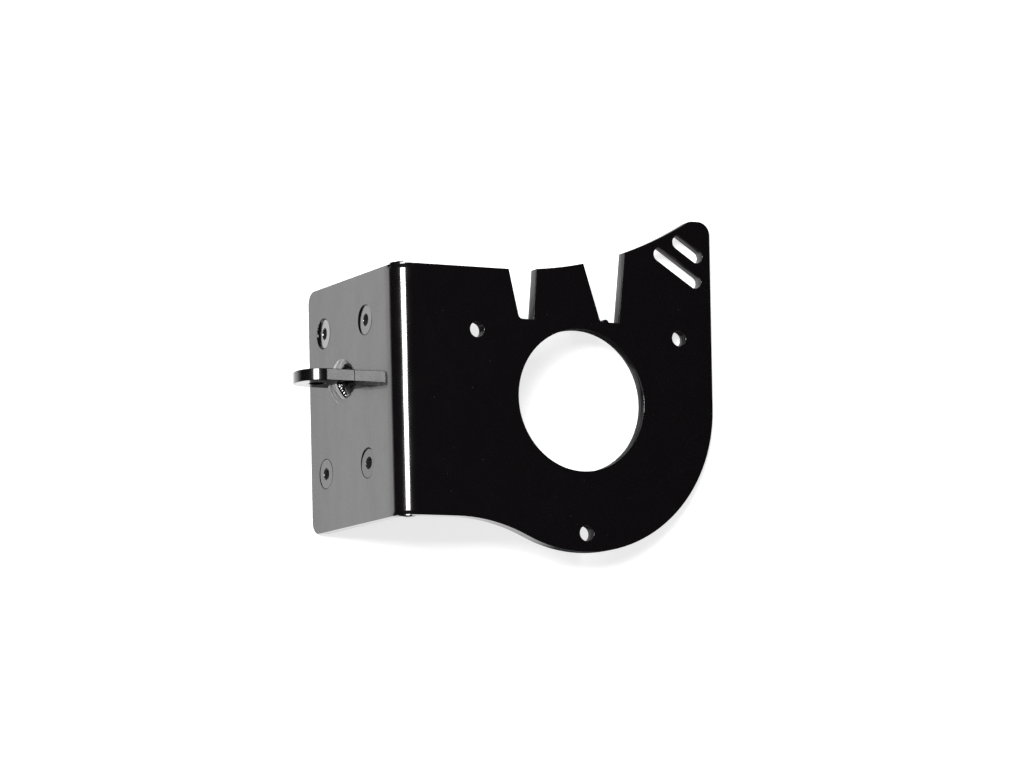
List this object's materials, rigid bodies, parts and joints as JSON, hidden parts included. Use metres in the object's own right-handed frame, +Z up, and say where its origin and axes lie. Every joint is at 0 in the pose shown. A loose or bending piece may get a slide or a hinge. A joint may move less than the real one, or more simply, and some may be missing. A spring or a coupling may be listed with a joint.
{
  "type": "motor mounting bracket",
  "caption": "Right-angle sheet-metal bracket: one leg carries a flange-mounted motor and has a slotted ear, the other screws to a frame and has a welded eye lug.",
  "frame": {"origin": "centre of the motor pilot hole, on the front face of the motor plate", "axes": "+X along the motor plate away from the bend, +Y along the flange away from the front face, +Z up along the bend"},
  "size_m": [0.1727, 0.0848, 0.1435],
  "materials": {
    "gloss_black_paint": "gloss black paint on steel sheet",
    "painted_weld": "gloss black paint over a lumpy weld bead",
    "painted_screw": "black screw, painted over"
  },
  "bodies": {
    "root": {"bracket_plate": "gloss_black_paint", "lug": "gloss_black_paint", "lug_weld_upper": "painted_weld", "lug_weld_lower": "painted_weld", "flange_screws": "painted_screw"}
  },
  "joints": []
}
